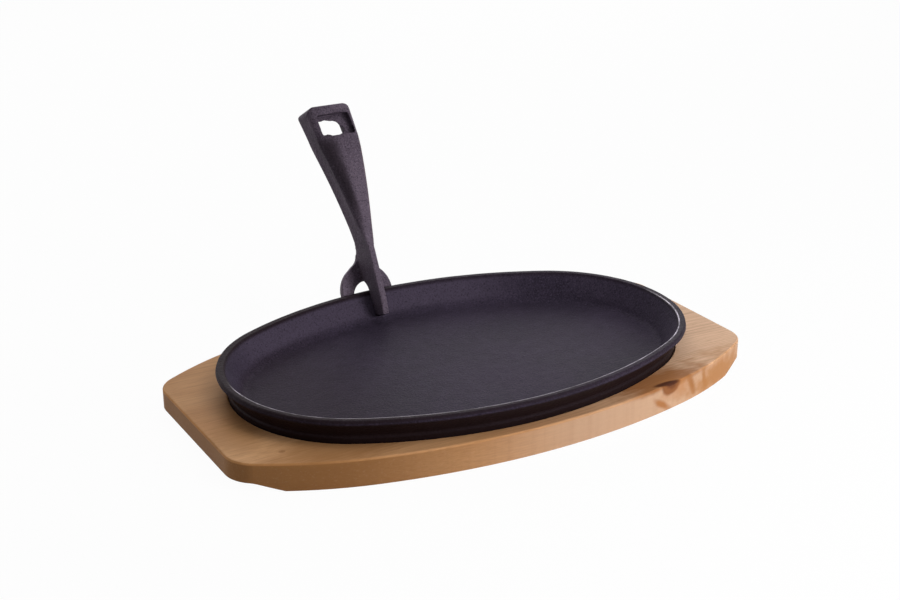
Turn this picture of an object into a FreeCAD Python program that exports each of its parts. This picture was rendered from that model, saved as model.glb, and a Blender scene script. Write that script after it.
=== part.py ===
import FreeCAD, Part

import math
import operator
import os

import Sketcher

# Sizzle platter: an oval cast-iron pan seated in a wooden board, with a lift-off iron grip
# hooked over the middle of its back rim. Millimetres, +Z up, the pan's length along X.
# The origin is the middle of the board's underside, where the board stands on the table.

doc = FreeCAD.newDocument("sizzle_platter")
sheet = doc.addObject("Spreadsheet::Sheet", "sizes")

driving_sizes = [
    # Board: long sides of three tangent arcs, straight ends with finger lifts under them, a routed seat.
    ("board_end_margin", 20.4),        # what the board's length has over the pan's, at each end
    ("board_side_margin", 2.9),        # what its width has over the pan's, on each side
    ("board_side_radius", 380.0),      # the long side's middle arc
    ("board_shoulder_radius", 202.0),  # the tighter arcs on both sides of it
    ("board_shoulder_x", 95.0),        # where the arcs meet
    ("board_thickness", 15.2),
    ("board_corner_round", 18.5),
    ("board_edge_round", 1.0),
    ("lift_rise", 4.3),                # how far the underside is raised at each end
    ("lift_ramp_start", 22.4),         # where the ramp leaves the underside, from the end
    ("lift_level_run", 8.5),           # level stretch at the end, above the fingers
    ("lift_blend_round", 12.0),
    ("seat_depth", 5.2),
    ("seat_clearance", 0.4),           # all round, between the seat's wall and the pan's foot
    ("seat_mouth_round", 0.6),
    ("seat_shift_x", -2.0),            # the seat is routed slightly off the board's middle
    ("seat_shift_y", -1.3),
    # Pan: one casting. Insets are measured inwards from the rim's outer edge.
    ("pan_length", 280.0),
    ("pan_width", 183.2),
    ("pan_end_radius", 75.8),
    ("pan_height", 20.2),
    ("rim_top_width", 4.2),
    ("lip_height", 2.4),
    ("lip_outer_round", 1.2),
    ("lip_under_width", 0.5),          # the small bevel under the lip
    ("lip_under_height", 0.3),
    ("rim_inner_round", 0.5),
    ("inside_wall_slope", 33.0),       # degrees off the vertical
    ("floor_thickness", 3.2),
    ("floor_round", 8.0),
    ("groove_inset", 6.8),
    ("groove_height", 9.3),
    ("foot_top_inset", 5.6),
    ("foot_top_height", 8.0),
    ("foot_base_inset", 6.9),
    ("foot_ring_width", 6.0),
    ("underside_hollow", 1.0),
    ("turned_run", 30.0),              # how far the turned wall and its floor reach in from the rim
    ("floor_overlap", 4.0),            # how far the floor slab runs into the turned floor
    # Grip: one casting. Its own Z runs up the grip, its own Y points away from the pan,
    # and its own origin is the rim's outer top edge.
    ("grip_place_x", -12.2),
    ("grip_lean", 28.0),               # degrees, outwards from the vertical
    ("blade_width", 4.1),
    ("blade_front", 18.2),             # the front edge's distance in front of the rim
    ("tongue_drop", 17.8),             # the tongue's tip below the rim's edge
    ("tongue_tip_set_back", 1.6),
    ("tongue_nose_rise", 9.0),
    ("rim_gap", 0.35),                 # between the grip and the pan's wall, inside and outside
    ("slot_foot_drop", 1.2),           # where the slot's arched top meets the tongue
    ("slot_top_round", 9.0),
    ("shank_bend_start", 35.0),
    ("shank_bend_radius", 225.0),
    ("shank_depth", 17.4),
    ("shank_waist_depth", 16.8),
    ("waist_flare_radius", 28.0),
    ("grip_top", 115.0),
    ("flare_start", 24.0),             # where the blade begins to widen into the shank
    ("shoulder_width", 26.0),
    ("head_height", 22.0),             # from the shoulder to the top
    ("head_width", 28.8),
    ("head_corner_round", 4.5),
    ("tongue_corner_round", 3.0),
    ("eye_width", 21.0),
    ("eye_height", 14.4),
    ("eye_top_wall", 6.0),
    ("eye_shift_x", 0.8),              # the eye is cast slightly off the head's middle
    ("eye_corner_round", 2.0),
    ("scoop_round", 7.0),              # radius of the hollow across the shank
    ("scoop_depth", 3.2),
    ("scoop_middle", 66.0),
    ("scoop_half_run", 31.0),
    ("scoop_set_back", 7.3),           # the hollow's middle line behind the front face
    ("plate_thickness", 4.5),
    ("arch_half_width", 16.6),
    ("arch_shoulder_round", 17.0),
    ("arch_shoulder_x", 11.0),
    ("arch_shoulder_z", 12.0),
    ("arch_slope_x", 6.0),
    ("arch_slope_z", 15.8),
    ("arch_neck_z", 19.3),
    ("arch_neck_round", 9.0),
    ("arch_spring_z", -1.0),
    ("arch_foot_drop", 9.0),
    ("arch_gap_half_width", 9.2),
    ("arch_gap_spring_z", -1.5),
    ("arch_gap_crown_z", 5.8),
    ("foot_corner_round", 1.8),
]


class Size:
    """A size that knows its number and how the sheet's values give it."""

    def __init__(self, number, formula):
        self.number = float(number)
        self.formula = formula

    def __add__(self, other):
        return combine(operator.add, self, "+", other)

    def __radd__(self, other):
        return combine(operator.add, other, "+", self)

    def __sub__(self, other):
        return combine(operator.sub, self, "-", other)

    def __rsub__(self, other):
        return combine(operator.sub, other, "-", self)

    def __mul__(self, other):
        return combine(operator.mul, self, "*", other)

    def __rmul__(self, other):
        return combine(operator.mul, other, "*", self)

    def __truediv__(self, other):
        return combine(operator.truediv, self, "/", other)

    def __rtruediv__(self, other):
        return combine(operator.truediv, other, "/", self)

    def __neg__(self):
        return 0 - self


def sized(value):
    if isinstance(value, Size):
        return value
    return Size(value, "({:.10g})".format(value))


def combine(work, left, sign, right):
    left = sized(left)
    right = sized(right)
    return Size(work(left.number, right.number), "({} {} {})".format(left.formula, sign, right.formula))


def root(value):
    return Size(math.sqrt(value.number), "sqrt({})".format(value.formula))


def slope(angle):
    return Size(math.tan(math.radians(angle.number)), "tan({})".format(angle.formula))


def cosine(angle):
    return Size(math.cos(math.radians(angle.number)), "cos({})".format(angle.formula))


def sine(angle):
    return Size(math.sin(math.radians(angle.number)), "sin({})".format(angle.formula))


def angle_of(rise, run):
    number = math.degrees(math.atan(rise.number / run.number))
    return Size(number, "atan({} / {})".format(rise.formula, run.formula))


size = {}
for row, (alias, number) in enumerate(driving_sizes, start=1):
    sheet.set("A{}".format(row), alias)
    sheet.set("B{}".format(row), str(number))
    sheet.setAlias("B{}".format(row), alias)
    size[alias] = Size(number, "sizes.{}".format(alias))
doc.recompute()


# Sketches and features

def bind(thing, prop, value):
    thing.setExpression(prop, sized(value).formula)


def new_body(name):
    body = doc.addObject("PartDesign::Body", name)
    body.Label = name
    return body


def new_sketch(body, name, plane, lift=None):
    # lift moves the sketch along the plane's own normal, which is +Z, -Y or +X
    sketch = body.newObject("Sketcher::SketchObject", name)
    origin_plane = [part for part in body.Origin.OriginFeatures if part.Role == plane][0]
    sketch.AttachmentSupport = (origin_plane, [""])
    sketch.MapMode = "FlatFace"
    if lift is not None:
        bind(sketch, "AttachmentOffset.Base.z", lift)
    return sketch


def pin_point(sketch, element, end, x, y):
    # ties a point to a place measured from the sketch's own origin
    for kind, place, axis in (("DistanceX", x, -2), ("DistanceY", y, -1)):
        place = sized(place)
        if abs(place.number) < 1e-9:
            sketch.addConstraint(Sketcher.Constraint("PointOnObject", element, end, axis))
            continue
        if place.number > 0:
            index = sketch.addConstraint(Sketcher.Constraint(kind, -1, 1, element, end, place.number))
            bind(sketch, "Constraints[{}]".format(index), place)
        else:
            index = sketch.addConstraint(Sketcher.Constraint(kind, element, end, -1, 1, -place.number))
            bind(sketch, "Constraints[{}]".format(index), -place)


class Bend:
    """An arc to the next point. side is +1 where its centre lies left of the way there, -1 right."""

    def __init__(self, radius, side):
        self.radius = radius
        self.side = side


def arc_between(start, end, bend):
    chord = end - start
    middle = (start + end) * 0.5
    reach = math.sqrt(max(bend.radius.number ** 2 - (chord.Length / 2) ** 2, 0.0))
    left = FreeCAD.Vector(-chord.y, chord.x, 0).normalize()
    centre = middle + left * (reach * bend.side)
    first, last = (start, end) if bend.side > 0 else (end, start)
    turn = [math.atan2(point.y - centre.y, point.x - centre.x) for point in (first, last)]
    circle = Part.Circle(centre, FreeCAD.Vector(0, 0, 1), bend.radius.number)
    return Part.ArcOfCircle(circle, turn[0], turn[1])


def draw_loop(sketch, points):
    # points: (x, y) or (x, y, Bend to the next point); every corner is tied to the sheet
    places = [FreeCAD.Vector(sized(p[0]).number, sized(p[1]).number, 0) for p in points]
    elements = []
    for index, point in enumerate(points):
        start, end = places[index], places[(index + 1) % len(points)]
        if len(point) == 3:
            element = sketch.addGeometry(arc_between(start, end, point[2]), False)
            begin, finish = (1, 2) if point[2].side > 0 else (2, 1)
        else:
            element = sketch.addGeometry(Part.LineSegment(start, end), False)
            begin, finish = 1, 2
        elements.append((element, begin, finish))
    for index, (element, begin, finish) in enumerate(elements):
        before = elements[index - 1]
        sketch.addConstraint(Sketcher.Constraint("Coincident", before[0], before[2], element, begin))
        pin_point(sketch, element, begin, points[index][0], points[index][1])
        if len(points[index]) == 3:
            radius = points[index][2].radius
            spot = sketch.addConstraint(Sketcher.Constraint("Radius", element, radius.number))
            bind(sketch, "Constraints[{}]".format(spot), radius)


def pad(body, name, sketch, length, both_ways=False, backwards=False):
    feature = body.newObject("PartDesign::Pad", name)
    feature.Profile = sketch
    bind(feature, "Length", length)
    if both_ways:
        feature.SideType = "Symmetric"
    feature.Reversed = backwards
    settle(body, feature)
    return feature


def cut(body, name, sketch, length=None, both_ways=False, backwards=False):
    before = body.Shape.Volume
    feature = body.newObject("PartDesign::Pocket", name)
    feature.Profile = sketch
    if length is None:
        feature.Type = "ThroughAll"
    else:
        bind(feature, "Length", length)
    if both_ways:
        feature.SideType = "Symmetric"
    feature.Reversed = backwards
    settle(body, feature)
    if body.Shape.Volume > before - 1.0:
        raise RuntimeError("{} cuts nothing".format(name))
    return feature


def settle(body, feature):
    body.Tip = feature
    doc.recompute()
    if feature.Shape.isNull() or not feature.Shape.isValid():
        raise RuntimeError("{} failed".format(feature.Name))


def round_edges(body, name, radius, wanted):
    base = body.Tip
    picked = ["Edge{}".format(i) for i, edge in enumerate(base.Shape.Edges, start=1) if wanted(edge)]
    if not picked:
        raise RuntimeError("{} finds no edge".format(name))
    feature = body.newObject("PartDesign::Fillet", name)
    feature.Base = (base, picked)
    bind(feature, "Radius", radius)
    settle(body, feature)
    return feature


def middle_of(edge):
    return edge.valueAt((edge.FirstParameter + edge.LastParameter) / 2)


def is_level(edge, height):
    box = edge.BoundBox
    return abs(box.ZMin - height.number) < 0.02 and abs(box.ZMax - height.number) < 0.02


# The oval: two end arcs and two side arcs that meet smoothly. A parallel oval keeps the
# same four centres and takes its inset off each radius.

end_centre = size["pan_length"] / 2 - size["pan_end_radius"]
half_width = size["pan_width"] / 2
side_radius = (
    (end_centre * end_centre + half_width * half_width - size["pan_end_radius"] * size["pan_end_radius"])
    / (2 * (half_width - size["pan_end_radius"]))
)
side_centre = side_radius - half_width
end_turn = 2 * angle_of(side_centre, end_centre)
side_turn = Size(180, "(180 deg)") - end_turn
grip_from_pan = size["grip_place_x"] - size["seat_shift_x"]
back_rim_y = root(side_radius * side_radius - grip_from_pan * grip_from_pan) - side_centre
shoulder_height = size["grip_top"] - size["head_height"]


def draw_oval(sketch, inset):
    end_radius = size["pan_end_radius"] - inset
    radius = side_radius - inset
    reach = side_radius - size["pan_end_radius"]
    x = end_centre + end_radius * end_centre / reach
    y = end_radius * side_centre / reach
    draw_loop(sketch, [
        (x, -y, Bend(end_radius, 1)),
        (x, y, Bend(radius, 1)),
        (-x, y, Bend(end_radius, 1)),
        (-x, -y, Bend(radius, 1)),
    ])


def inset_of(point):
    # how far inside the rim's outer edge a point lies, seen from above
    x, y = abs(point.x), abs(point.y)
    if y * end_centre.number <= side_centre.number * (x - end_centre.number):
        return size["pan_end_radius"].number - math.hypot(x - end_centre.number, y)
    return side_radius.number - math.hypot(x, y + side_centre.number)


def on_oval(height, inset):
    def wanted(edge):
        return is_level(edge, height) and abs(inset_of(middle_of(edge)) - inset.number) < 0.05
    return wanted


# Wooden board

def make_board():
    body = new_body("wooden_board")
    half = size["pan_length"] / 2 + size["board_end_margin"]
    radius = size["board_side_radius"]
    shoulder = size["board_shoulder_radius"]
    arc_middle_y = half_width + size["board_side_margin"] - radius
    join_x = size["board_shoulder_x"]
    join_y = arc_middle_y + root(radius * radius - join_x * join_x)
    shoulder_x = join_x * (1 - shoulder / radius)
    shoulder_y = arc_middle_y + (join_y - arc_middle_y) * (1 - shoulder / radius)
    end_y = shoulder_y + root(shoulder * shoulder - (half - shoulder_x) * (half - shoulder_x))
    outline = new_sketch(body, "board_outline", "XY_Plane")
    draw_loop(outline, [
        (half, -end_y),
        (half, end_y, Bend(shoulder, 1)),
        (join_x, join_y, Bend(radius, 1)),
        (-join_x, join_y, Bend(shoulder, 1)),
        (-half, end_y),
        (-half, -end_y, Bend(shoulder, 1)),
        (-join_x, -join_y, Bend(radius, 1)),
        (join_x, -join_y, Bend(shoulder, 1)),
    ])
    pad(body, "board_plank", outline, size["board_thickness"])
    round_edges(body, "board_corners", size["board_corner_round"],
                lambda edge: edge.BoundBox.ZLength > size["board_thickness"].number - 0.1
                and abs(abs(middle_of(edge).x) - half.number) < 0.1)

    lifts = new_sketch(body, "finger_lift_profile", "XZ_Plane")
    past_end = half + size["lift_level_run"]
    for side in (1, -1):
        draw_loop(lifts, [
            (side * (half - size["lift_ramp_start"]), 0),
            (side * (half - size["lift_level_run"]), size["lift_rise"]),
            (side * past_end, size["lift_rise"]),
            (side * past_end, -1 * size["lift_rise"]),
            (side * (half - size["lift_ramp_start"]), -1 * size["lift_rise"]),
        ])
    cut(body, "finger_lifts", lifts, both_ways=True)
    round_edges(body, "finger_lift_blend", size["lift_blend_round"],
                lambda edge: is_level(edge, size["lift_rise"])
                and abs(abs(middle_of(edge).x) - (half - size["lift_level_run"]).number) < 0.1)

    seat = new_sketch(body, "seat_outline", "XY_Plane", size["board_thickness"] - size["seat_depth"])
    bind(seat, "AttachmentOffset.Base.x", size["seat_shift_x"])
    bind(seat, "AttachmentOffset.Base.y", size["seat_shift_y"])
    draw_oval(seat, foot_inset_at_board() - size["seat_clearance"])
    cut(body, "seat", seat, size["seat_depth"], backwards=True)

    top = size["board_thickness"]
    round_edges(body, "board_top_edges", size["board_edge_round"],
                lambda edge: is_level(edge, top) and outside_pan(middle_of(edge)))
    round_edges(body, "seat_mouth", size["seat_mouth_round"],
                lambda edge: is_level(edge, top) and not outside_pan(middle_of(edge)))
    return body


def foot_inset_at_board():
    # the pan's foot leans in a little towards its base, so its inset at the board's top is in between
    share = size["seat_depth"] / size["foot_top_height"]
    return size["foot_base_inset"] - share * (size["foot_base_inset"] - size["foot_top_inset"])


def outside_pan(point):
    shift = FreeCAD.Vector(size["seat_shift_x"].number, size["seat_shift_y"].number, 0)
    return inset_of(point - shift) < (foot_inset_at_board() - size["seat_clearance"]).number - 0.05


# Oval pan: its wall section is turned round each of the four arc centres, then floored

def pan_section(across_from_centre, floor_end):
    # the section in a plane through the vertical axis of one arc; across_from_centre is the
    # rim's outer edge there
    height = size["pan_height"]
    floor_top = size["underside_hollow"] + size["floor_thickness"]
    wall_foot = size["rim_top_width"] + (height - floor_top) * slope(size["inside_wall_slope"])
    insets = [
        (size["foot_base_inset"], 0),
        (size["foot_top_inset"], size["foot_top_height"]),
        (size["groove_inset"], size["groove_height"]),
        (size["lip_under_width"], height - size["lip_height"] - size["lip_under_height"]),
        (sized(0.0), height - size["lip_height"]),
        (sized(0.0), height),
        (size["rim_top_width"], height),
        (wall_foot, floor_top),
        (floor_end, floor_top),
        (floor_end, size["underside_hollow"]),
        (size["foot_base_inset"] + size["foot_ring_width"], size["underside_hollow"]),
        (size["foot_base_inset"] + size["foot_ring_width"], 0),
    ]
    return [(across_from_centre - inset, up) for inset, up in insets], wall_foot


def turn_section(body, name, plane, edge_at, axis_at, turn, floor_end):
    sketch = new_sketch(body, name + "_section", plane)
    points, wall_foot = pan_section(edge_at, floor_end)
    draw_loop(sketch, points)
    axis = sketch.addGeometry(
        Part.LineSegment(FreeCAD.Vector(axis_at.number, 0, 0), FreeCAD.Vector(axis_at.number, 10, 0)), True)
    sketch.addConstraint(Sketcher.Constraint("Vertical", axis))
    pin_point(sketch, axis, 1, axis_at, 0)
    sketch.addConstraint(Sketcher.Constraint("DistanceY", axis, 1, axis, 2, 10.0))
    feature = body.newObject("PartDesign::Revolution", name)
    feature.Profile = sketch
    feature.ReferenceAxis = (sketch, ["Axis0"])
    feature.Midplane = True
    bind(feature, "Angle", turn)
    settle(body, feature)
    return feature


def mirror(body, name, feature, plane):
    mirrored = body.newObject("PartDesign::Mirrored", name)
    origin_plane = [part for part in body.Origin.OriginFeatures if part.Role == plane][0]
    mirrored.Originals = [feature]
    mirrored.MirrorPlane = (origin_plane, [""])
    settle(body, mirrored)
    return mirrored


def make_pan():
    body = new_body("oval_platter")
    floor_end = size["turned_run"]
    right = turn_section(body, "right_end", "XZ_Plane", size["pan_length"] / 2, end_centre, end_turn,
                         floor_end)
    back = turn_section(body, "back_side", "YZ_Plane", half_width, -side_centre, side_turn, floor_end)
    mirror(body, "left_end", right, "YZ_Plane")
    mirror(body, "front_side", back, "XZ_Plane")

    floor = new_sketch(body, "floor_outline", "XY_Plane", size["underside_hollow"])
    draw_oval(floor, floor_end - size["floor_overlap"])
    pad(body, "floor", floor, size["floor_thickness"])

    floor_top = size["underside_hollow"] + size["floor_thickness"]
    wall_foot = size["rim_top_width"] + (size["pan_height"] - floor_top) * slope(size["inside_wall_slope"])
    round_edges(body, "floor_blend", size["floor_round"], on_oval(floor_top, wall_foot))
    round_edges(body, "lip_edge", size["lip_outer_round"], on_oval(size["pan_height"], sized(0.0)))
    round_edges(body, "rim_inner_edge", size["rim_inner_round"],
                on_oval(size["pan_height"], size["rim_top_width"]))
    return body


# Grip: a blade that widens into a shank with a hanging eye, and an arched plate behind the rim

def front_at(up):
    # the front edge's place along the grip's own Y
    over = up - size["shank_bend_start"]
    if over.number <= 0:
        return -size["blade_front"]
    radius = size["shank_bend_radius"]
    return radius - size["blade_front"] - root(radius * radius - over * over)


def back_at(up):
    radius = size["shank_bend_radius"] - size["shank_depth"]
    over = up - size["shank_bend_start"]
    return size["shank_bend_radius"] - size["blade_front"] - root(radius * radius - over * over)


def back_straight_end():
    # where the straight stretch above the waist runs into the bent back without a corner
    radius = size["shank_bend_radius"] - size["shank_depth"]
    share = radius / (radius + size["shank_depth"] - size["shank_waist_depth"])
    return size["shank_bend_start"] + radius * root(1 - share * share)


def half_width_at(up):
    rise = (size["shoulder_width"] - size["blade_width"]) / 2
    share = (up - size["flare_start"]) / (shoulder_height - size["flare_start"])
    return size["blade_width"] / 2 + rise * share


def plate_front():
    # a gap outside the lip's lower edge, in the grip's own frame, past the rim's swell to its middle
    swell = half_width - back_rim_y
    return size["lip_height"] * sine(size["grip_lean"]) + swell + size["rim_gap"]


def tongue_back(up):
    # follows the pan's inside wall, a gap away; up is measured along the grip
    lean = size["grip_lean"]
    rim = -(size["rim_top_width"] * cosine(lean))
    start = -(size["rim_top_width"] * sine(lean))
    wall_lean = size["inside_wall_slope"] - lean
    return rim - (start - up) * slope(wall_lean) - size["rim_gap"]


def make_grip():
    body = new_body("grip_handle")
    top = size["grip_top"]
    waist = size["shank_bend_start"]
    plate_back = plate_front() + size["plate_thickness"]
    blend_top = back_straight_end()
    slot_foot = -size["slot_foot_drop"]

    profile = new_sketch(body, "side_profile", "YZ_Plane")
    draw_loop(profile, [
        (-size["blade_front"] + size["tongue_tip_set_back"], -size["tongue_drop"]),
        (-size["blade_front"], -size["tongue_drop"] + size["tongue_nose_rise"]),
        (-size["blade_front"], waist, Bend(size["shank_bend_radius"], -1)),
        (front_at(top), top),
        (back_at(top), top, Bend(size["shank_bend_radius"] - size["shank_depth"], 1)),
        (back_at(blend_top), blend_top),
        (-size["blade_front"] + size["shank_waist_depth"], waist, Bend(size["waist_flare_radius"], 1)),
        (plate_back, size["arch_neck_z"]),
        (plate_back, size["arch_gap_crown_z"]),
        (plate_front(), size["arch_gap_crown_z"], Bend(size["slot_top_round"], 1)),
        (tongue_back(slot_foot), slot_foot),
        (tongue_back(-size["tongue_drop"]), -size["tongue_drop"]),
    ])
    pad(body, "side_blank", profile, size["head_width"], both_ways=True)

    widths = new_sketch(body, "front_outline_cuts", "XZ_Plane")
    outer = size["head_width"]
    low = -2 * size["tongue_drop"]
    for side in (1, -1):
        draw_loop(widths, [
            (side * size["blade_width"] / 2, low),
            (side * size["blade_width"] / 2, size["flare_start"]),
            (side * size["shoulder_width"] / 2, shoulder_height),
            (side * size["head_width"] / 2, top),
            (side * outer, top),
            (side * outer, low),
        ])
    cut(body, "front_outline", widths, both_ways=True)
    round_edges(body, "head_corners", size["head_corner_round"],
                lambda edge: edge.BoundBox.YLength > 10 and abs(middle_of(edge).z - top.number) < 0.1
                and abs(middle_of(edge).x) > size["head_width"].number / 2 - 0.1)

    round_edges(body, "tongue_corner", size["tongue_corner_round"],
                lambda edge: is_level(edge, -size["tongue_drop"])
                and abs(middle_of(edge).y - tongue_back(-size["tongue_drop"]).number) < 0.01)

    eye = new_sketch(body, "eye_outline", "XZ_Plane")
    eye_top = top - size["eye_top_wall"]
    eye_left = size["eye_shift_x"] - size["eye_width"] / 2
    eye_right = size["eye_shift_x"] + size["eye_width"] / 2
    draw_loop(eye, [(eye_left, eye_top - size["eye_height"]), (eye_right, eye_top - size["eye_height"]),
                    (eye_right, eye_top), (eye_left, eye_top)])
    cut(body, "hanging_eye", eye, both_ways=True)
    round_edges(body, "eye_corners", size["eye_corner_round"],
                lambda edge: edge.BoundBox.YLength > 10 and edge.BoundBox.XLength < 0.01
                and min(abs(middle_of(edge).x - side.number) for side in (eye_left, eye_right)) < 0.01)

    # each side's scoop is part of a ring that dips into the tapered side
    half_run = size["scoop_half_run"]
    ring = (half_run * half_run + size["scoop_depth"] * size["scoop_depth"]) / (2 * size["scoop_depth"])
    reach = ring + size["scoop_round"] - size["scoop_depth"]
    taper = angle_of((size["shoulder_width"] - size["blade_width"]) / 2,
                     shoulder_height - size["flare_start"])
    over = size["scoop_middle"] - waist
    lean_back = angle_of(over, root(size["shank_bend_radius"] * size["shank_bend_radius"] - over * over))
    for side, label in ((1, "right"), (-1, "left")):
        before = body.Shape.Volume
        scoop = body.newObject("PartDesign::SubtractiveTorus", "{}_scoop".format(label))
        bind(scoop, "Radius1", ring)
        bind(scoop, "Radius2", size["scoop_round"])
        scoop.Placement = FreeCAD.Placement(
            FreeCAD.Vector(0, 0, 0), FreeCAD.Rotation(FreeCAD.Vector(1, 0, 0), -90))
        bind(scoop, "Placement.Rotation.Angle", Size(-90, "(-90 deg)") - lean_back)
        bind(scoop, "Placement.Base.x", side * (half_width_at(size["scoop_middle"]) + reach * cosine(taper)))
        bind(scoop, "Placement.Base.y", front_at(size["scoop_middle"]) + size["scoop_set_back"])
        bind(scoop, "Placement.Base.z", size["scoop_middle"] - reach * sine(taper))
        settle(body, scoop)
        if body.Shape.Volume > before - 1.0:
            raise RuntimeError("{} scoop cuts nothing".format(label))

    plate = new_sketch(body, "plate_outline", "XZ_Plane", -plate_front())
    foot = -size["arch_foot_drop"]
    gap_half = size["arch_gap_half_width"]
    gap_rise = size["arch_gap_crown_z"] - size["arch_gap_spring_z"]
    gap_radius = (gap_half * gap_half + gap_rise * gap_rise) / (2 * gap_rise)
    neck = size["blade_width"] / 2
    draw_loop(plate, [
        (gap_half, foot),
        (size["arch_half_width"], foot),
        (size["arch_half_width"], size["arch_spring_z"], Bend(size["arch_shoulder_round"], 1)),
        (size["arch_shoulder_x"], size["arch_shoulder_z"]),
        (size["arch_slope_x"], size["arch_slope_z"], Bend(size["arch_neck_round"], -1)),
        (neck, size["arch_neck_z"]),
        (-neck, size["arch_neck_z"], Bend(size["arch_neck_round"], -1)),
        (-size["arch_slope_x"], size["arch_slope_z"]),
        (-size["arch_shoulder_x"], size["arch_shoulder_z"], Bend(size["arch_shoulder_round"], 1)),
        (-size["arch_half_width"], size["arch_spring_z"]),
        (-size["arch_half_width"], foot),
        (-gap_half, foot),
        (-gap_half, size["arch_gap_spring_z"], Bend(gap_radius, -1)),
        (gap_half, size["arch_gap_spring_z"]),
    ])
    pad(body, "arched_plate", plate, size["plate_thickness"], backwards=True)
    round_edges(body, "foot_corners", size["foot_corner_round"],
                lambda edge: is_level(edge, foot) and edge.BoundBox.XLength < 0.01)
    return body


board = make_board()
pan = make_pan()
grip = make_grip()

# Places: the pan stands in the seat, the grip hangs on the pan's back rim

pan_base = size["board_thickness"] - size["seat_depth"]
bind(pan, "Placement.Base.x", size["seat_shift_x"])
bind(pan, "Placement.Base.y", size["seat_shift_y"])
bind(pan, "Placement.Base.z", pan_base)

grip.Placement = FreeCAD.Placement(
    FreeCAD.Vector(0, 0, 0), FreeCAD.Rotation(FreeCAD.Vector(1, 0, 0), -size["grip_lean"].number))
bind(grip, "Placement.Rotation.Angle", -size["grip_lean"])
bind(grip, "Placement.Base.x", size["grip_place_x"])
bind(grip, "Placement.Base.y", size["seat_shift_y"] + back_rim_y)
bind(grip, "Placement.Base.z", pan_base + size["pan_height"])
doc.recompute()

pieces = [board, pan, grip]
for item in doc.Objects:
    if "Invalid" in item.State or "Error" in item.State:
        raise RuntimeError("{} is in state {}".format(item.Name, item.State))
os.makedirs("parts", exist_ok=True)
for piece in pieces:
    if piece.Shape.isNull() or not piece.Shape.isValid() or len(piece.Shape.Solids) != 1:
        raise RuntimeError("{} is not one sound solid".format(piece.Label))
    piece.Shape.exportStep("parts/{}.step".format(piece.Label))
    box = piece.Shape.BoundBox
    print("{}: volume {:.0f} mm3, X {:.1f}..{:.1f}, Y {:.1f}..{:.1f}, Z {:.1f}..{:.1f}".format(
        piece.Label, piece.Shape.Volume, box.XMin, box.XMax, box.YMin, box.YMax, box.ZMin, box.ZMax))
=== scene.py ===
import math

import bmesh
import bpy
from mathutils import Matrix, Vector


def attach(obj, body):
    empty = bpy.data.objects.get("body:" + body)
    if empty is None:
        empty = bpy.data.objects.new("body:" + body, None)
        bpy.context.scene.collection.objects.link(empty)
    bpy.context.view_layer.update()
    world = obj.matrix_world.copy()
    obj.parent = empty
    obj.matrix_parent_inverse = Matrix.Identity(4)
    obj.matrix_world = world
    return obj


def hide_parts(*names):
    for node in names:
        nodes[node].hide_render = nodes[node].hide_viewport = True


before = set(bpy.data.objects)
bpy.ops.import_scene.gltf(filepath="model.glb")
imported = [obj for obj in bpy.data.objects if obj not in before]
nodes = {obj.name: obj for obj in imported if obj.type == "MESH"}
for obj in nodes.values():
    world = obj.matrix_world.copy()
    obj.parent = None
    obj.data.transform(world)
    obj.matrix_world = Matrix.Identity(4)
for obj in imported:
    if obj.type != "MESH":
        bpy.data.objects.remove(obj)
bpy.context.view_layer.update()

mm = 0.001


# Shader maths: a wrapped socket that takes part in sums

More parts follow.
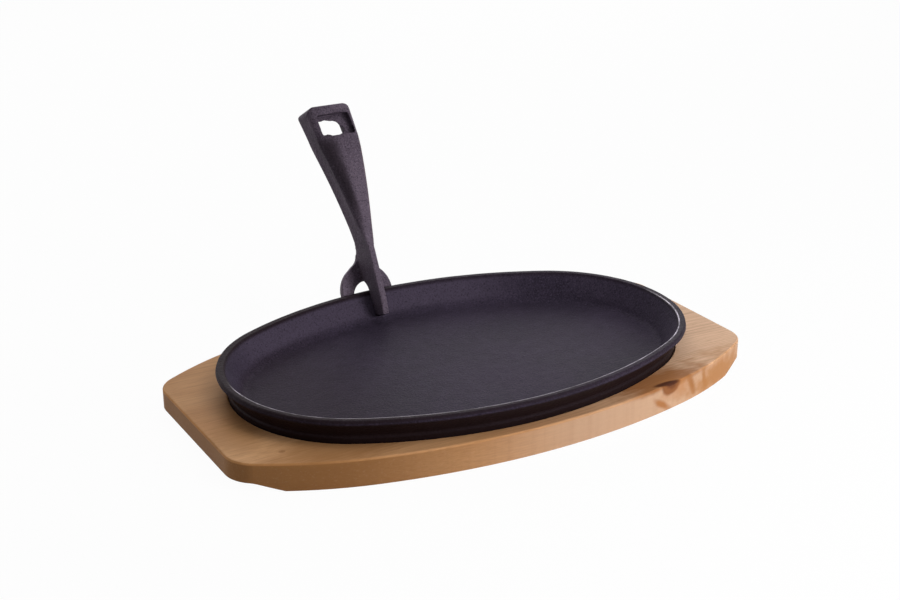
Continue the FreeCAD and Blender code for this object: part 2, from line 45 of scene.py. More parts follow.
class Signal:
    def __init__(self, tree, socket=None):
        self.tree = tree
        self.socket = socket

    def add(self, kind, settings=None, sockets=None, out=0):
        # any node: its settings first, then the values or links of its sockets
        node = self.tree.nodes.new(kind)
        for name, value in (settings or {}).items():
            setattr(node, name, value)
        for name, value in (sockets or {}).items():
            target = node.inputs[name]
            if isinstance(value, Signal):
                self.tree.links.new(value.socket, target)
            else:
                target.default_value = value
        return Signal(self.tree, node.outputs[out])

    def output(self, out):
        # another output of the same node
        return Signal(self.tree, self.socket.node.outputs[out])

    def maths(self, operation, first, second=0.0):
        return self.add("ShaderNodeMath", {"operation": operation}, {0: first, 1: second})

    def __add__(self, other):
        return self.maths("ADD", self, other)

    def __radd__(self, other):
        return self.maths("ADD", other, self)

    def __sub__(self, other):
        return self.maths("SUBTRACT", self, other)

    def __rsub__(self, other):
        return self.maths("SUBTRACT", other, self)

    def __mul__(self, other):
        return self.maths("MULTIPLY", self, other)

    def __rmul__(self, other):
        return self.maths("MULTIPLY", other, self)

    def __truediv__(self, other):
        return self.maths("DIVIDE", self, other)

    def __rtruediv__(self, other):
        return self.maths("DIVIDE", other, self)

    def __pow__(self, other):
        return self.maths("POWER", self, other)

    def __rpow__(self, other):
        return self.maths("POWER", other, self)

    def apply(self, operation):
        # a Math operation on this value alone
        return self.maths(operation, self)

    def root(self):
        return self.apply("SQRT")

    def size(self):
        return self.apply("ABSOLUTE")

    def most(self, other):
        return self.maths("MAXIMUM", self, other)

    def below(self, other):
        return self.maths("LESS_THAN", self, other)

    def fade(self):
        # 1 at 0, and less and less above it
        return 2.718 ** (0 - self)

    def hill(self, centre, width):
        # 1 at centre, falling off smoothly over width on each side
        away = (self - centre) / width
        return (away * away).fade()

    def step(self, low, high):
        # 0 at low, 1 at high, smooth between; low may be the larger of the two
        return self.add("ShaderNodeMapRange", {"interpolation_type": "SMOOTHSTEP"},
                        {"Value": self, "From Min": low, "From Max": high})

    def span(self, ends):
        # a step between two places in mm
        return self.step(ends[0] * mm, ends[1] * mm)

    def ramp(self, low, high, first, second):
        # first at low, second at high, straight between
        return self.add("ShaderNodeMapRange", {}, {
            "Value": self, "From Min": low, "From Max": high, "To Min": first, "To Max": second})

    def blend(self, first, second):
        # colour mix: 0 gives first, 1 gives second
        return self.add("ShaderNodeMix", {"data_type": "RGBA"}, {"Factor": self, 6: first, 7: second}, 2)

    def noise(self, scale, detail=2.0, rough=0.5, stretch=(1, 1, 1), shift=(0, 0, 0)):
        # noise over this vector, which is stretched and shifted first
        mapped = self.add("ShaderNodeMapping", {}, {"Vector": self, "Scale": stretch, "Location": shift})
        return self.add("ShaderNodeTexNoise", {}, {
            "Vector": mapped, "Scale": scale, "Detail": detail, "Roughness": rough})


def newMaterial(name):
    material = bpy.data.materials.new(name)
    material.use_nodes = True
    tree = material.node_tree
    place = Signal(tree).add("ShaderNodeTexCoord", out="Object")
    return material, tree.nodes["Principled BSDF"], place


def splitUp(vector):
    parts = vector.add("ShaderNodeSeparateXYZ", {}, {0: vector})
    return [parts.output(i) for i in range(3)]


def noiseLayers(place, recipes):
    return {name: place.noise(*recipe) for name, recipe in recipes.items()}


def spans(signal, ends):
    # a step in mm for each named pair of places
    return {name: signal.span(pair) for name, pair in ends.items()}


def paint(tone, coats):
    # lays each coat's color over the last, as far as its mask says
    for mask, color in coats:
        tone = mask.blend(tone, color)
    return tone


def feed(signal, shader, name):
    signal.tree.links.new(signal.socket, shader.inputs[name])


def feedBump(relief, shader, strength, distance):
    bump = relief.add("ShaderNodeBump", {}, {"Height": relief, "Strength": strength, "Distance": distance})
    feed(bump, shader, "Normal")


def dress(piece, material):
    piece.data.materials.clear()
    piece.data.materials.append(material)


# Board: the CAD form stays, and its wood is made here

wood = {
    "top": 15.2 * mm,
    "gloss": 0.07,
    "roughness": 0.42,
    "fibreRoughness": 0.16,                 # how much rougher fibres and flecks are
    "fleckRoughness": 0.1,
    "bump": (0.14, 0.4 * mm),               # strength and depth
    "relief": {"fibre": 0.6, "flecks": 0.5, "lateWood": 0.15, "mottle": 0.3},
    "paleColor": (0.72, 0.405, 0.20, 1),
    "warmColor": (0.56, 0.28, 0.12, 1),
    "rosyColor": (0.83, 0.545, 0.365, 1),   # towards the right end: the wood's own rosier tone with a painted sheen
    "lineColor": (0.30, 0.14, 0.065, 1),    # late wood, fibres and flecks
    # painted highlight: an orange line on the top edge's rounding
    "edgeHighlightColor": (0.60, 0.27, 0.085, 1),
    # painted light on the sides, towards the right
    "litSideColor": (0.60, 0.39, 0.262, 1),
    "shadedColor": (0.29, 0.125, 0.038, 1),     # painted shade: the darker, browner left part of the sides
    "knotColors": ((0.33, 0.125, 0.042, 1), (0.12, 0.034, 0.013, 1)),
    "streakColor": (0.06, 0.017, 0.010, 1),
    "pith": (30 * mm, -85 * mm),            # the tree's middle, in the board's y and z
    "ringGap": 2.0 * mm,
    "ringDrift": (7.0 * mm, 18.0 * mm),     # how far the rings wander across and down
    "lateStart": (0.35, 0.93),              # the share of a ring in which late wood sets in
    "lateEnd": (1.0, 0.95),                 # and in which it ends
    "layers": {
        # noise scale, detail, roughness, stretch along x, y and z, shift
        "drift": (1.0, 2.0, 0.5, (9, 26, 26)),
        "wander": (1.0, 1.0, 0.5, (3.2, 9, 9), (3, 1, 7)),
        "ringMix": (1.0, 2.0, 0.5, (5, 60, 60), (9, 4, 2)),
        "broad": (1.0, 2.0, 0.55, (4, 24, 24), (1, 5, 3)),
        "fibre": (1.0, 3.0, 0.6, (45, 1300, 1300)),
        "flecks": (1.0, 1.0, 0.5, (170, 2600, 2600), (2, 2, 9)),
        "ripple": (1.0, 2.0, 0.5, (260, 260, 12), (6, 2, 4)),
        "mottle": (1.0, 3.0, 0.6, (420, 900, 900), (3, 9, 5)),
        "fray": (1.0, 2.0, 0.55, (90, 260, 160), (8, 1, 1)),
    },
    "cuts": {
        # the noise at which a layer begins to show, and shows in full
        "ringMix": (0.25, 0.7),
        "broad": (0.3, 0.72),
        "flecks": (0.66, 0.74),
        "mottle": (0.56, 0.7),
    },
    "fibreFrom": 0.42,
    "rippleFrom": 0.45,
    "depths": {
        # mm below the top, from none to full
        "side": (0.7, 1.3),
        "edgeBottom": (1.5, 0.9),
        "edgeTop": (0.06, 0.2),
    },
    "alongX": {
        # mm, from none to full
        "rosy": (-60, 130),
        "lines": (-200, -40),
        "shaded": (0, -120),
        "side": (-60, 30),
        "edge": (-80, -140),
    },
    "shares": {
        "rosy": 0.85,
        "rosyLessOnSide": 0.6,
        "lines": 0.33,
        "linesLessOnSide": 0.22,
        "flecks": 0.3,
        "shaded": 0.85,
        "side": 0.8,
        "ripple": 0.4,
        "mottle": 0.07,
        "edge": 0.25,
        "edgeMoreAtLeft": 0.4,
        "knots": 0.95,
        "streak": 0.85,
    },
    "fray": 1.1,                            # how ragged the patches are
    "patchEdge": (1.35, 0.35),              # where a patch begins and is full; its ellipsoid is at 1
    "knotEdge": (1.15, 0.8),
    "knotFray": 0.35,                       # of the patches' fray
    "knotRings": 6.0,
    "knotRingFray": 7,
    "knotSwing": 0.25,                      # how far the rings go from one knot color to the other
    "streakEdge": (1.25, 0.6),
    "streakFray": 0.6,
    "knots": [
        # x, y, z, half sizes along x, y and z, all in mm, strength
        (84.2, -85.6, 14.6, 9.0, 3.4, 6.2, 1.0),
        (-133.8, -53.3, 15.2, 1.9, 1.5, 1.0, 0.45),
    ],
    "knotReach": (1, 1, 1, 2.1, 3.6, 2.6),  # a knot pushes the rings in an ellipsoid this much larger
    "knotPush": 12 * mm,
    "knotFade": 0.5,
    "figuresAndShadows": [
        # x, y, z, half sizes, all in mm, lean of x with z, strength, color
        # painted shadow of the pan on the top in front of it, over a darker wood field
        (80.0, -79.0, 15.2, 38.0, 16.0, 3.0, 0.0, 0.9, (0.35, 0.135, 0.042, 1)),
        # painted shadow of the pan on the top at its front left and beside its left end
        (-108.0, -62.0, 15.2, 42.0, 20.0, 4.0, 0.0, 0.65, (0.38, 0.175, 0.062, 1)),
        (-150.0, -30.0, 15.2, 15.0, 19.0, 4.0, 0.0, 0.5, (0.34, 0.165, 0.062, 1)),
        (101.4, -80.5, 9.6, 3.2, 6.0, 8.0, -0.50, 0.9, (0.37, 0.145, 0.042, 1)),
        (113.5, -77.0, 8.3, 2.2, 6.0, 6.5, -0.30, 0.75, (0.38, 0.15, 0.045, 1)),
        (77.0, -86.8, 4.6, 3.6, 5.0, 5.4, -1.3, 0.9, (0.42, 0.165, 0.05, 1)),
        (130.0, -68.0, 6.0, 40.0, 22.0, 9.6, 0.0, 0.9, (0.46, 0.205, 0.070, 1)),
        (89.0, -85.0, 11.5, 15.0, 6.0, 7.0, -0.4, 0.65, (0.50, 0.215, 0.075, 1)),
    ],
    "streak": (81.5, -84.2, 15.2, 9.0, 2.2, 1.7),       # dark line on the edge, over the large knot
    "arch": (128.0, -63.0, 15.2, 30.0, 11.0, 20.0),     # where the rings arch at the right end
    "archHeight": 7.0 * mm,
    "archFade": 0.7,
}


def farFrom(parts, spot, lean=0.0):
    # distance from an ellipsoid's middle, 1 on its surface; spot is its place and half sizes in mm
    x, y, z = parts
    cx, cy, cz, sx, sy, sz = [value * mm for value in spot]
    u = (x - cx - (z - cz) * lean) / sx
    v = (y - cy) / sy
    w = (z - cz) / sz
    return (u * u + v * v + w * w).root()


def growthRings(parts, layers):
    # 1 in the dark late wood of each ring; the knots and the arch push the rings aside
    y, z = parts[1:]
    push = 0.0
    for *spot, strength in wood["knots"]:
        wide = farFrom(parts, [value * reach for value, reach in zip(spot, wood["knotReach"])])
        push = push + wood["knotPush"] * strength ** 2 * (wide * wood["knotFade"]).fade()
    arch = farFrom(parts, wood["arch"])
    push = push + wood["archHeight"] * (arch * arch * wood["archFade"]).fade()
    across = y - wood["pith"][0] + (layers["drift"] - 0.5) * wood["ringDrift"][0]
    down = z - wood["pith"][1] + (layers["wander"] - 0.5) * wood["ringDrift"][1]
    turns = ((across ** 2 + down ** 2).root() + push) / wood["ringGap"]
    phase = turns - turns.apply("FLOOR")
    return phase.step(*wood["lateStart"]) * phase.step(*wood["lateEnd"])


def makeWood():
    material, shader, place = newMaterial("boardWood")
    parts = splitUp(place)
    layers = noiseLayers(place, wood["layers"])
    cut = {name: layers[name].step(*ends) for name, ends in wood["cuts"].items()}
    alongX = spans(parts[0], wood["alongX"])
    depth = spans(wood["top"] - parts[2], wood["depths"])
    share = wood["shares"]
    onSide = depth["side"]
    onEdge = depth["edgeBottom"] * depth["edgeTop"]
    lateWood = growthRings(parts, layers)
    fibre = layers["fibre"]
    ripple = (layers["ripple"] - wood["rippleFrom"]).most(0.0)
    lines = cut["ringMix"] * (share["lines"] - onSide * share["linesLessOnSide"]) * alongX["lines"]
    fray = (layers["fray"] - 0.5) * wood["fray"]

    coats = [
        # painted sheen: the top lighter and rosier towards the right end, less on the sides
        (alongX["rosy"] * (1 - onSide * share["rosyLessOnSide"]) * share["rosy"], wood["rosyColor"]),
        (lateWood * lines, wood["lineColor"]),
        ((fibre - wood["fibreFrom"]).most(0.0), wood["lineColor"]),
        (cut["flecks"] * share["flecks"], wood["lineColor"]),
        # painted shade and light on the sides: dark brown at the left, a lit tone further right
        (onSide * alongX["shaded"] * share["shaded"], wood["shadedColor"]),
        (onSide * alongX["side"] * share["side"], wood["litSideColor"]),
        (onSide * ripple * share["ripple"], wood["lineColor"]),
        (onSide * cut["mottle"] * share["mottle"], wood["rosyColor"]),
        # painted highlight along the top edge, more at the left
        (onEdge * (share["edge"] + share["edgeMoreAtLeft"] * alongX["edge"]), wood["edgeHighlightColor"]),
    ]
    # wood figure, and painted shadow of the pan on the top
    for *spot, lean, strength, color in wood["figuresAndShadows"]:
        figureAndShadow = (farFrom(parts, spot, lean) + fray).step(*wood["patchEdge"])
        coats.append((figureAndShadow * strength, color))
    for *spot, strength in wood["knots"]:
        far = farFrom(parts, spot)
        knot = (far + fray * wood["knotFray"]).step(*wood["knotEdge"]) * strength
        rings = (far * wood["knotRings"] + fray * wood["knotRingFray"]).apply("SINE")
        inside = (rings * wood["knotSwing"] + 0.5).blend(*wood["knotColors"])
        coats.append((knot * share["knots"], inside))
    streak = (farFrom(parts, wood["streak"]) + fray * wood["streakFray"]).step(*wood["streakEdge"])
    coats.append((streak * share["streak"], wood["streakColor"]))

    base = cut["broad"].blend(wood["paleColor"], wood["warmColor"])
    feed(paint(base, coats), shader, "Base Color")
    rough = wood["roughness"] + fibre * wood["fibreRoughness"] + cut["flecks"] * wood["fleckRoughness"]
    feed(rough, shader, "Roughness")
    shader.inputs["Specular IOR Level"].default_value = wood["gloss"]
    rise = wood["relief"]
    relief = fibre * rise["fibre"] - cut["flecks"] * rise["flecks"] - lateWood * rise["lateWood"]
    feedBump(relief + layers["mottle"] * rise["mottle"] * onSide, shader, *wood["bump"])
    return material


dress(nodes["wooden_board"], makeWood())
print("board dressed")


# Cast iron: one finish for both castings, with each casting's own painted light and shade below its grain
# and above it

iron = {
    "gloss": 0.045,
    "glossTint": (0.80, 0.68, 1.0, 1),
    "roughness": 0.52,
    "cloudRoughness": 0.16,
    "grainRoughness": 0.24,
    "bump": (0.9, 0.5 * mm),                # strength and depth
    "relief": {"grain": 0.5, "pits": 0.6, "lumps": 0.8},
    "layers": {
        # noise scale, detail, roughness, stretch, shift
        "grain": (1050.0, 3.0, 0.7),
        "pits": (560.0, 2.0, 0.5, (1, 1, 1), (5, 3, 1)),
        "lumps": (140.0, 2.0, 0.5, (1, 1, 1), (1, 8, 4)),
        "cloud": (16.0, 3.0, 0.55, (1, 1, 1), (7, 2, 5)),
    },
    "mix": {"cloud": 0.7, "lumps": 0.3},    # what parts the casting's two colors
    "mixCut": (0.35, 0.65),
    "sparkCut": (0.53, 0.68),
    "sparkShare": 0.34,
    "sparkBrightness": 2.6,                 # against the casting's lighter color
    "pitCut": (0.47, 0.33),
    "pitShare": 0.6,
    "pitColor": (0.004, 0.003, 0.004, 1),
    "highlightMetal": 0.6,                       # how metallic the painted rim highlight is
    "highlightSmoothness": 0.15,                 # how much less rough it is
}


def makeIron(name, colors, makeLightAndShade):
    material, shader, place = newMaterial(name)
    layers = noiseLayers(place, iron["layers"])
    grain = layers["grain"]
    cloud = layers["cloud"]
    lumps = layers["lumps"]
    sparkColor = tuple(value * iron["sparkBrightness"] for value in colors[1][:3]) + (1,)
    grainCoats = [
        (grain.step(*iron["sparkCut"]) * iron["sparkShare"], sparkColor),
        (grain.step(*iron["pitCut"]) * iron["pitShare"], iron["pitColor"]),
    ]
    # painted light and shade, laid below the grain and above it
    lightAndShadeBelow, lightAndShadeAbove, highlightMask = makeLightAndShade(place)
    mottled = (cloud * iron["mix"]["cloud"] + lumps * iron["mix"]["lumps"]).step(*iron["mixCut"])
    feed(paint(mottled.blend(*colors), lightAndShadeBelow + grainCoats + lightAndShadeAbove), shader, "Base Color")
    rough = iron["roughness"] + (cloud - 0.5) * iron["cloudRoughness"]
    rough = rough + (grain - 0.5) * iron["grainRoughness"]
    # the painted rim highlight is also made partly metallic and smoother
    if highlightMask:
        rough = rough - highlightMask * iron["highlightSmoothness"]
        feed(highlightMask * iron["highlightMetal"], shader, "Metallic")
    feed(rough, shader, "Roughness")
    shader.inputs["Specular IOR Level"].default_value = iron["gloss"]
    shader.inputs["Specular Tint"].default_value = iron["glossTint"]
    rise = iron["relief"]
    relief = grain * rise["grain"] + layers["pits"] * rise["pits"] + lumps * rise["lumps"]
    feedBump(relief, shader, *iron["bump"])
    return material


# Pan: its section carried round the oval by Geometry Nodes

pan = {
    "middle": (-2.0 * mm, -1.3 * mm),
    "endRadius": 75.8 * mm,
    "endCentre": 64.2 * mm,
    "halfWidth": 91.6 * mm,
    "base": 10.0 * mm,
    "rimTop": 30.2 * mm,
    "steps": 512,
    "cornerSteps": 5,
    "weld": 0.02 * mm,                      # points closer than this become one
    "sliver": 1e-7,                         # edges shorter than this go
    "unevenness": 0.09 * mm,
    "unevenScale": 70.0,
    "section": [
        # inset from the rim's outer edge, height above the pan's base, corner radius, in mm
        (75.0, 4.2, 0),
        (40.0, 4.2, 0),
        (14.6, 4.2, 5.5),
        (4.35, 20.0, 0.9),
        (0.6, 20.2, 1.3),
        (0.0, 17.8, 0.7),
        (0.7, 17.1, 0.5),
        (6.7, 9.4, 1.6),
        (5.7, 7.9, 0.8),
        (6.8, 0.1, 0.5),
        (12.9, 0.1, 0.4),
        (12.9, 1.0, 0.6),
        (40.0, 1.0, 0),
        (75.0, 1.0, 0),
    ],
    "colors": ((0.029, 0.0225, 0.036, 1), (0.044, 0.0335, 0.054, 1)),
    "litWallColor": (0.080, 0.063, 0.095, 1),      # painted light: the lighter inside wall
    # painted shade, red-brown with the wood reflected in it
    "panShadeColor": (0.014, 0.0075, 0.007, 1),
    # painted highlight along the rim's inner edge
    "rimHighlightColor": (0.52, 0.49, 0.51, 1),
    "wallHeight": (14.5, 19),               # mm above the table, from none to full
    "insets": {
        # mm inside the rim's outer edge, from none to full
        "wallFoot": (14.5, 10.5),
        "wallTop": (4.6, 6.0),
    },
    "depths": {
        # mm below the rim's top
        "outside": (1.6, 3.2),
        "lip": (2.4, 0.6),
        "rimHighlight": (1.2, 0.5),
    },
    "alongX": {
        # mm
        "wallRight": (90, 40),
        "wallLeft": (-128, -100),
        "rightEnd": (100, 120),
        "leftPart": (-30, -100),
        "lip": (60, -40),
    },
    "alongY": {
        # mm
        "wall": (25, 60),
        "rimHighlight": (12, -10),
    },
    "outsideSkin": (22.8, 22.0),            # inset plus tilt times height, in mm
    "outsideTilt": 0.7,
    "rimHighlightLine": (4.1 * mm, 0.36 * mm),      # inset and half width
    "rimHighlightBreaks": (120.0, 3.0, 0.6, (1, 1, 1), (4, 4, 4)),
    "rimHighlightCut": (0.3, 0.6),
    "shares": {
        "wall": 0.8,
        "rightEnd": 0.25,
        "leftPart": 0.4,
        "outside": 0.95,
        "lip": 0.45,
        "lipMoreAtLeft": 0.3,
        "rimHighlight": 0.3,
        "rimHighlightMoreUnbroken": 0.7,
    },
}
pan["sideRadius"] = ((pan["endCentre"] ** 2 + pan["halfWidth"] ** 2 - pan["endRadius"] ** 2)
                     / (2 * (pan["halfWidth"] - pan["endRadius"])))
pan["sideCentre"] = pan["sideRadius"] - pan["halfWidth"]


def panInset(x, y):
    # how far inside the rim's outer edge a point lies, seen from above
    px = (x - pan["middle"][0]).size()
    py = (y - pan["middle"][1]).size()
    atEnd = pan["endRadius"] - ((px - pan["endCentre"]) ** 2 + py ** 2).root()
    atSide = pan["sideRadius"] - (px ** 2 + (py + pan["sideCentre"]) ** 2).root()
    isEnd = py.below((px - pan["endCentre"]) * (pan["sideCentre"] / pan["endCentre"]))
    return isEnd * atEnd + (1 - isEnd) * atSide


def panLightAndShade(place):
    # painted light on the back wall, painted shade on the pan's left part, the lip and the outside, which
    # is red-brown with reflected wood, and a painted highlight along the rim's inner edge, made partly
    # metallic
    x, y, z = splitUp(place)
    inset = panInset(x, y)
    insets = spans(inset, pan["insets"])
    depth = spans(pan["rimTop"] - z, pan["depths"])
    alongX = spans(x, pan["alongX"])
    alongY = spans(y, pan["alongY"])
    share = pan["shares"]

    wall = insets["wallFoot"] * insets["wallTop"] * z.span(pan["wallHeight"])
    backWall = alongY["wall"] * alongX["wallRight"] * alongX["wallLeft"]
    # painted light: the back wall and the right end's inner wall lighter
    wallLight = backWall * share["wall"] + alongX["rightEnd"] * share["rightEnd"]
    lightAndShadeBelow = [
        (wall * wallLight, pan["litWallColor"]),
        # painted shade: the pan's left part darker, off the wall
        (alongX["leftPart"] * (1 - wall) * share["leftPart"], pan["panShadeColor"]),
    ]
    # painted shade on the undercut outside, red-brown with reflected wood
    outside = (inset + z * pan["outsideTilt"]).span(pan["outsideSkin"]) * depth["outside"]
    # painted shade on the lip, more at the left
    lip = depth["lip"] * (share["lip"] + share["lipMoreAtLeft"] * alongX["lip"])
    # painted highlight along the rim's inner edge, at the front only, broken in places
    unbroken = place.noise(*pan["rimHighlightBreaks"]).step(*pan["rimHighlightCut"])
    rimHighlight = inset.hill(*pan["rimHighlightLine"]) * depth["rimHighlight"] * alongY["rimHighlight"]
    rimHighlight = rimHighlight * (share["rimHighlight"] + share["rimHighlightMoreUnbroken"] * unbroken)
    lightAndShadeAbove = [
        (outside * share["outside"], pan["panShadeColor"]),
        (lip, pan["panShadeColor"]),
        (rimHighlight, pan["rimHighlightColor"]),
    ]
    return lightAndShadeBelow, lightAndShadeAbove, rimHighlight


def roundedLine(points, steps):
    # replaces each corner that has a radius with an arc's points
    line = []
    for i, (u, v, radius) in enumerate(points):
        corner = Vector((u, v))
        if radius == 0:
            line.append(corner)
            continue
        before = (Vector(points[i - 1][:2]) - corner).normalized()
        after = (Vector(points[i + 1][:2]) - corner).normalized()
        half = before.angle(after) / 2
        reach = radius / math.tan(half)
        middle = corner + (before + after).normalized() * (radius / math.sin(half))
        start = corner + before * reach - middle
        end = corner + after * reach - middle
        turn = start.angle_signed(end)
        for k in range(steps + 1):
            line.append(middle + Matrix.Rotation(-turn * k / steps, 2) @ start)
    return line


def panTree():
    tree = bpy.data.node_groups.new("sweptPan", "GeometryNodeTree")
    tree.interface.new_socket("Section", in_out="INPUT", socket_type="NodeSocketGeometry")
    for name, kind, value in (
            ("Steps", "NodeSocketInt", pan["steps"]),
            ("Rows", "NodeSocketInt", 2),
            ("End Radius", "NodeSocketFloat", pan["endRadius"]),
            ("End Centre", "NodeSocketFloat", pan["endCentre"]),
            ("Side Radius", "NodeSocketFloat", pan["sideRadius"]),
            ("Side Centre", "NodeSocketFloat", pan["sideCentre"]),
            ("Unevenness", "NodeSocketFloat", pan["unevenness"]),
            ("Iron", "NodeSocketMaterial", None)):
        socket = tree.interface.new_socket(name, in_out="INPUT", socket_type=kind)
        if value is not None:
            socket.default_value = value
    tree.interface.new_socket("Pan", in_out="OUTPUT", socket_type="NodeSocketGeometry")
    given = tree.nodes.new("NodeGroupInput").outputs
    inputs = {socket.name: Signal(tree, socket) for socket in given if socket.name}
    section = inputs["Section"]
    rows = inputs["Rows"]

    # a flat grid with one row for each point of the section
    grid = section.add("GeometryNodeMeshGrid", {}, {
        "Size X": 1.0, "Size Y": 1.0, "Vertices X": inputs["Steps"] + 1, "Vertices Y": rows})
    place = section.add("GeometryNodeInputPosition")
    across, along = splitUp(place)[:2]
    angle = (across + 0.5) * math.tau
    row = ((along + 0.5) * (rows - 1)).apply("ROUND")
    point = section.add("GeometryNodeSampleIndex", {"data_type": "FLOAT_VECTOR"},
                        {0: section, 1: place, 2: row})
    inset, flatten, height = splitUp(point)

    # each row goes round the oval, over two end arcs and two flatter side arcs
    outX = angle.apply("COSINE")
    outY = angle.apply("SINE")
    isEnd = (outY.size() * inputs["End Centre"]).below(outX.size() * inputs["Side Centre"])
    reach = isEnd * (inputs["End Radius"] - inset) + (1 - isEnd) * (inputs["Side Radius"] - inset)
    x = outX * reach + isEnd * inputs["End Centre"] * outX.apply("SIGN")
    y = outY * reach - (1 - isEnd) * inputs["Side Centre"] * outY.apply("SIGN")
    spot = section.add("ShaderNodeCombineXYZ", {}, {0: x, 1: y * (1 - flatten), 2: height})
    shaped = section.add("GeometryNodeSetPosition", {}, {"Geometry": grid, "Position": spot})
    joined = section.add("GeometryNodeMergeByDistance", {}, {"Geometry": shaped, "Distance": pan["weld"]})

    # a little unevenness, as a sand mould leaves
    wave = section.add("ShaderNodeTexNoise", {},
                       {"Vector": place, "Scale": pan["unevenScale"], "Detail": 2.0}, "Color")
    centred = section.add("ShaderNodeVectorMath", {"operation": "SUBTRACT"}, {0: wave, 1: (0.5, 0.5, 0.5)})
    moved = section.add("ShaderNodeVectorMath", {"operation": "SCALE"},
                        {0: centred, "Scale": inputs["Unevenness"] * 2})
    uneven = section.add("GeometryNodeSetPosition", {}, {"Geometry": joined, "Offset": moved})
    smooth = section.add("GeometryNodeSetShadeSmooth", {}, {0: uneven, "Shade Smooth": True})
    real = section.add("GeometryNodeRealizeInstances", {}, {0: smooth})
    painted = section.add("GeometryNodeSetMaterial", {}, {"Geometry": real, "Material": inputs["Iron"]})
    tree.links.new(painted.socket, tree.nodes.new("NodeGroupOutput").inputs[0])
    return tree


def newObject(name, data):
    made = bpy.data.objects.new(name, data)
    bpy.context.scene.collection.objects.link(made)
    return made


def evaluated(piece):
    # the piece's mesh with its modifiers worked in
    return bpy.data.meshes.new_from_object(piece.evaluated_get(bpy.context.evaluated_depsgraph_get()))


def runTree(source, tree, values, name):
    # runs a Geometry Nodes tree on the source object and returns the plain result
    run = source.modifiers.new("run", "NODES")
    run.node_group = tree
    for socket in tree.interface.items_tree:
        if socket.in_out == "INPUT" and socket.name in values:
            run[socket.identifier] = values[socket.name]
    data = evaluated(source)
    source.modifiers.remove(run)
    bpy.data.objects.remove(source)
    return newObject(name, data)


def sweptPan():
    line = roundedLine(pan["section"], pan["cornerSteps"])
    first = line[0]
    last = line[-1]
    # the number beside a point folds its row towards the pan's long axis, which closes the floor
    rows = [(first, 1.0), (first, 0.0)]
    rows += [(point, 0.0) for point in line[1:-1]]
    rows += [(last, 0.5), (last, 1.0)]
    spots = [(point.x * mm, fold, point.y * mm) for point, fold in rows]
    data = bpy.data.meshes.new("panSection")
    data.from_pydata(spots, [(i, i + 1) for i in range(len(spots) - 1)], [])
    values = {"Rows": len(spots), "Iron": makeIron("panIron", pan["colors"], panLightAndShade)}
    made = runTree(newObject("panSection", data), panTree(), values, "panCast")
    mesh = bmesh.new()
    mesh.from_mesh(made.data)
    bmesh.ops.translate(mesh, verts=mesh.verts, vec=(*pan["middle"], pan["base"]))
    bmesh.ops.dissolve_degenerate(mesh, edges=mesh.edges, dist=pan["sliver"])
    bmesh.ops.recalc_face_normals(mesh, faces=mesh.faces)
    mesh.to_mesh(made.data)
    return made


panCast = sweptPan()
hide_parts("oval_platter")
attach(panCast, "root")
print("pan made,", len(panCast.data.polygons), "faces")


# Grip: the CAD form with cast, softened edges and the flash left in the hanging eye

grip = {
    "place": (-12.2 * mm, 90.06 * mm, 30.2 * mm),
    "lean": 28.0,                           # degrees, outwards
    "doubles": 1e-6,                        # points closer than this are one
    "voxel": 0.42 * mm,
    "softening": (0.5, 7),                  # strength and passes
    "frontRound": (7.5 * mm, 2.5 * mm),     # left and right front edges of the shank
    "frontRoundLimit": 0.9,                 # of the half width
    "headFrontRound": (4.2 * mm, 2.5 * mm),
    "backRound": (1.2 * mm, 2.2 * mm),      # on the shank and at the head
    "topRound": (5.4 * mm, 4.5 * mm),       # the head's upper left and right corners
    "backTopRound": 2.2 * mm,
    "roundFrom": (22 * mm, 40 * mm),        # heights over which the rounding sets in
    "headFrom": (84 * mm, 98 * mm),         # heights over which the shank becomes the head
    "scoopFill": 0.8,
    "scoopDepth": 4.2 * mm,
    "scoopBehind": (0.8 * mm, 16.0 * mm),   # behind the front face
    "scoopTop": 99 * mm,
    "rightSwell": 0.5 * mm,
    "frontFace": 18.2 * mm,
    "bendStart": 35.0 * mm,
    "bendRadius": 225.0 * mm,
    "flareStart": 24.0 * mm,
    "halfWidth": (2.05 * mm, 13.0 * mm, 14.4 * mm),     # at the flare's start, the shoulder and the top
    "shoulder": 93.0 * mm,
    "top": 115.0 * mm,
    "depth": (16.8 * mm, 18.7 * mm),        # at the waist and at the top
    "colors": ((0.096, 0.074, 0.100, 1), (0.136, 0.106, 0.142, 1)),
    # painted light on the front face, the plate, the head's top and the left side
    "litColor": (0.21, 0.165, 0.215, 1),
    "edgeReflectionColor": (0.20, 0.12, 0.09, 1),   # painted reflection along the right front edge
    "foldShadeColor": (0.016, 0.011, 0.014, 1),  # painted shade along the left front edge
    "heights": {
        # mm up the grip, from none to full
        "shankFoot": (20, 34),
        "shankTop": (100, 88),
        "fold": (28, 56),
        "face": (104, 60),
        "crest": (109, 112),
        "corner": (102, 110),
    },
    "alongX": {
        # mm from the grip's middle
        "left": (1, -1),
        "crest": (-1, 5),
        "corner": (-5, -10),
    },
    "behinds": {
        # mm behind the front face
        "edgeReflection": (2.6, 0.8),
        "face": (2.4, 0.6),
    },
    "edgeReflectionBand": (-1.0, -0.2),             # mm past the right edge
    "plateLeft": (-17.5, -21),              # the arched plate's left part, mm along x
    "plateLow": (46, 40),                   # and above the table
    "tipLow": (20.4, 18.8),                 # the tongue's tip, mm above the table
    "foldStart": (-1.25, 0.2),              # across the turn from front to left side, in half widths
    "foldEnd": (1.05, 0.4),
    "sideStart": (-0.4, -1.1),
    "foldNoise": (110.0, 2.0),
    "foldWave": 2.4 * mm,
    "shares": {
        "edgeReflection": 0.55,
        "face": 0.4,
        "plate": 0.8,
        "crest": 0.35,
        "side": 0.2,
        "fold": 0.8,
        "corner": 0.25,
        "tip": 0.7,
    },
}

